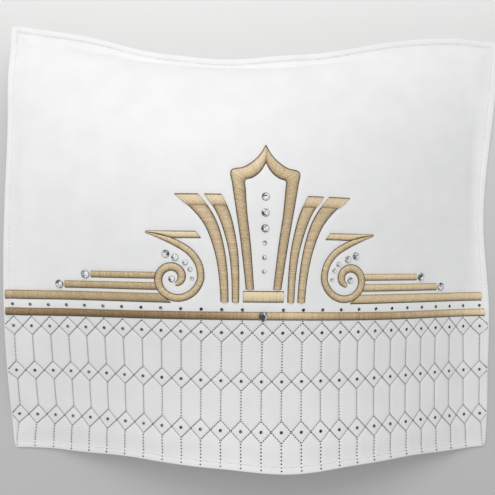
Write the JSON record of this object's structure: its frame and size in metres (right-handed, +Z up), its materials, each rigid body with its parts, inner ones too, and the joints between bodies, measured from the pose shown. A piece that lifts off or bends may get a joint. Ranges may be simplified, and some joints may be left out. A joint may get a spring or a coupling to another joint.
{
  "type": "padded table cover",
  "caption": "Padded white leatherette table cover with a quilted hem panel, gold satin-stitch ornament and flat-backed stones, standing over a low mound.",
  "frame": {"origin": "on the surface the cover lies on, under the middle of its bounding box", "axes": "+X across the cover towards its right edge, +Y from the quilted front edge to the plain back edge, +Z up"},
  "size_m": [0.54, 0.46, 0.0874],
  "materials": {
    "white_leatherette": "satin, fine grain",
    "quilted_leatherette": "satin, fine grain",
    "lining_satin": "plain weave",
    "wadding": "matt",
    "gold_thread": "satin stitch",
    "crystal": "faceted, foil backed"
  },
  "bodies": {
    "root": {"flame_left": "gold_thread", "flame_right": "gold_thread", "front_panel_quilted": "quilted_leatherette", "front_panel_upper": "white_leatherette", "gold_bar_long_left": "gold_thread", "gold_bar_long_right": "gold_thread", "gold_bar_low": "gold_thread", "gold_bar_middle_left": "gold_thread", "gold_bar_middle_right": "gold_thread", "gold_bar_short_left": "gold_thread", "gold_bar_short_right": "gold_thread", "lining": "lining_satin", "plinth": "gold_thread", "plume_inner_left": "gold_thread", "plume_inner_right": "gold_thread", "plume_outer_left": "gold_thread", "plume_outer_right": "gold_thread", "scroll_left": "gold_thread", "scroll_right": "gold_thread", "scroll_wedge_left": "gold_thread", "scroll_wedge_right": "gold_thread", "stone_arc_left_1": "crystal", "stone_arc_left_2": "crystal", "stone_arc_left_3": "crystal", "stone_arc_left_4": "crystal", "stone_arc_left_5": "crystal", "stone_arc_right_1": "crystal", "stone_arc_right_2": "crystal", "stone_arc_right_3": "crystal", "stone_arc_right_4": "crystal", "stone_arc_right_5": "crystal", "stone_column_1": "crystal", "stone_column_2": "crystal", "stone_column_3": "crystal", "stone_column_4": "crystal", "stone_column_5": "crystal", "stone_column_6": "crystal", "stone_curl_left": "crystal", "stone_curl_right": "crystal", "stone_low_bar": "crystal", "stone_middle_bar_left": "crystal", "stone_middle_bar_right": "crystal", "stone_short_bar_left": "crystal", "stone_short_bar_right": "crystal", "wadding": "wadding"}
  },
  "joints": []
}
